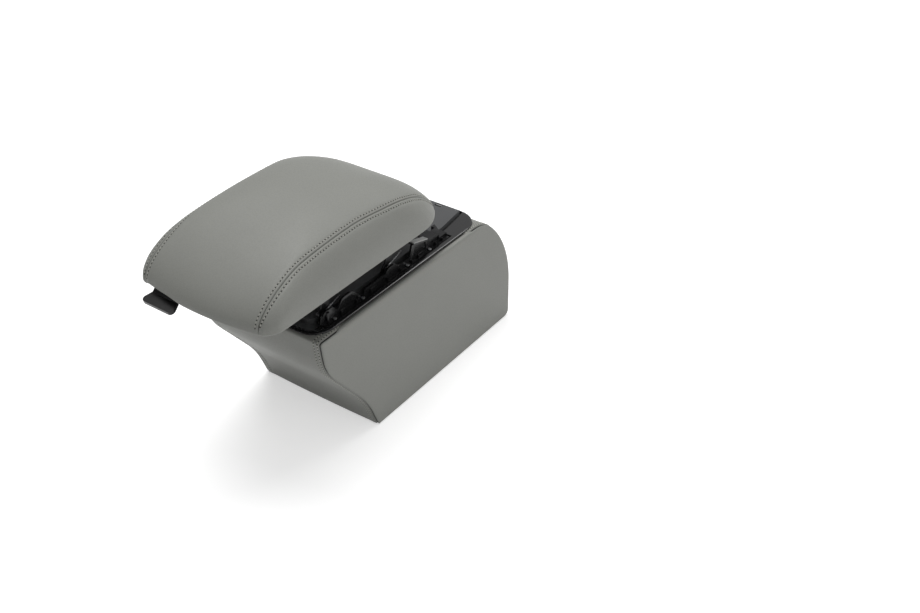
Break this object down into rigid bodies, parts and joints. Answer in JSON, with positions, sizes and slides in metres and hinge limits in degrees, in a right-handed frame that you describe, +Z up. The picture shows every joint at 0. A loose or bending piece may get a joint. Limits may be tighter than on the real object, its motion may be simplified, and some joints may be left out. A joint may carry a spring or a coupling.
{
  "type": "car centre armrest",
  "caption": "Leather-covered car console armrest: storage box with hinged lid and a raised elbow pad on folding parallel arms that slides and has a release paddle.",
  "frame": {"origin": "middle of the four bolt holes in the flat underside", "axes": "+X across the car to the right, +Y to the rear along the armrest, +Z up; the elbow pad overhangs towards -Y"},
  "size_m": [0.1824, 0.4255, 0.276],
  "materials": {
    "grey_leather": "fine-grained grey synthetic leather, satin",
    "box_plastic": "moulded, fine texture",
    "rim_plastic": "moulded, satin black",
    "lid_plastic": "moulded, fine texture, dark grey",
    "paddle_plastic": "moulded, satin black",
    "runner_plastic": "moulded nylon",
    "stop_nylon": "pale grey nylon, smooth",
    "black_steel": "black coated pressed steel",
    "zinc_steel": "zinc plated",
    "spring_steel": "drawn wire",
    "bumper_rubber": "matt",
    "mat_felt": "black felt",
    "pad_foam": "moulded foam, covered"
  },
  "bodies": {
    "box": {"box_shell": "box_plastic", "base_plate": "box_plastic", "base_screws": "zinc_steel", "floor_mat": "mat_felt", "side_cover_left": "grey_leather", "side_cover_right": "grey_leather", "front_cover": "grey_leather", "rear_cover": "grey_leather", "top_rim": "rim_plastic", "hinge_pin": "zinc_steel"},
    "lid": {"lid_base": "lid_plastic", "lid_bumpers": "bumper_rubber", "arm_bracket_left": "rim_plastic", "arm_bracket_right": "rim_plastic", "stop_pads": "stop_nylon", "bracket_screws": "zinc_steel", "pivot_pins": "zinc_steel", "lift_springs": "spring_steel"},
    "front_arms": {"front_arm": "black_steel"},
    "rear_arms": {"rear_arm": "black_steel"},
    "slide": {"slide_plate": "black_steel", "front_rod": "zinc_steel", "rear_rod": "zinc_steel"},
    "pad": {"pad_tray": "box_plastic", "runner_left": "runner_plastic", "runner_right": "runner_plastic", "runner_screws": "zinc_steel", "pad_foam": "pad_foam", "pad_cover_top": "grey_leather", "pad_cover_left": "grey_leather", "pad_cover_right": "grey_leather", "paddle_pin": "zinc_steel", "paddle_spring": "spring_steel", "lock_housing": "runner_plastic"},
    "paddle": {"release_paddle": "paddle_plastic"},
    "lock": {"lock_plunger": "zinc_steel"}
  },
  "joints": [
    {"name": "lid_hinge", "type": "hinge", "parent": "box", "child": "lid", "pos_m": [0, 0.072, 0.1625], "axis": [-1, 0, 0], "range_deg": [0, 75]},
    {"name": "arm_lower", "type": "hinge", "parent": "lid", "child": "front_arms", "pos_m": [0, -0.177, 0.168], "axis": [-1, 0, 0], "range_deg": [0, 57]},
    {"name": "rear_arm_turn", "type": "hinge", "parent": "lid", "child": "rear_arms", "pos_m": [0, -0.075, 0.168], "axis": [-1, 0, 0], "range_deg": [0, 57]},
    {"name": "slide_level", "type": "hinge", "parent": "front_arms", "child": "slide", "pos_m": [0, -0.15359, 0.21821], "axis": [1, 0, 0], "range_deg": [0, 57]},
    {"name": "pad_slide", "type": "slide", "parent": "slide", "child": "pad", "axis": [0, 1, 0], "range_m": [0, 0.03]},
    {"name": "paddle_pull", "type": "hinge", "parent": "pad", "child": "paddle", "pos_m": [-0.05, -0.249, 0.22], "axis": [-1, 0, 0], "range_deg": [0, 5], "stiffness_Nm_per_rad": 0.5, "springref_deg": -2.86},
    {"name": "lock_push", "type": "slide", "parent": "pad", "child": "lock", "axis": [0, 1, 0], "range_m": [0, 0.0008]}
  ],
  "couplings": [
    {"joint": "rear_arm_turn", "follows": "arm_lower", "ratio": 1},
    {"joint": "slide_level", "follows": "arm_lower", "ratio": 1},
    {"joint": "lock_push", "follows": "paddle_pull", "m_per_rad": 0.0085}
  ]
}
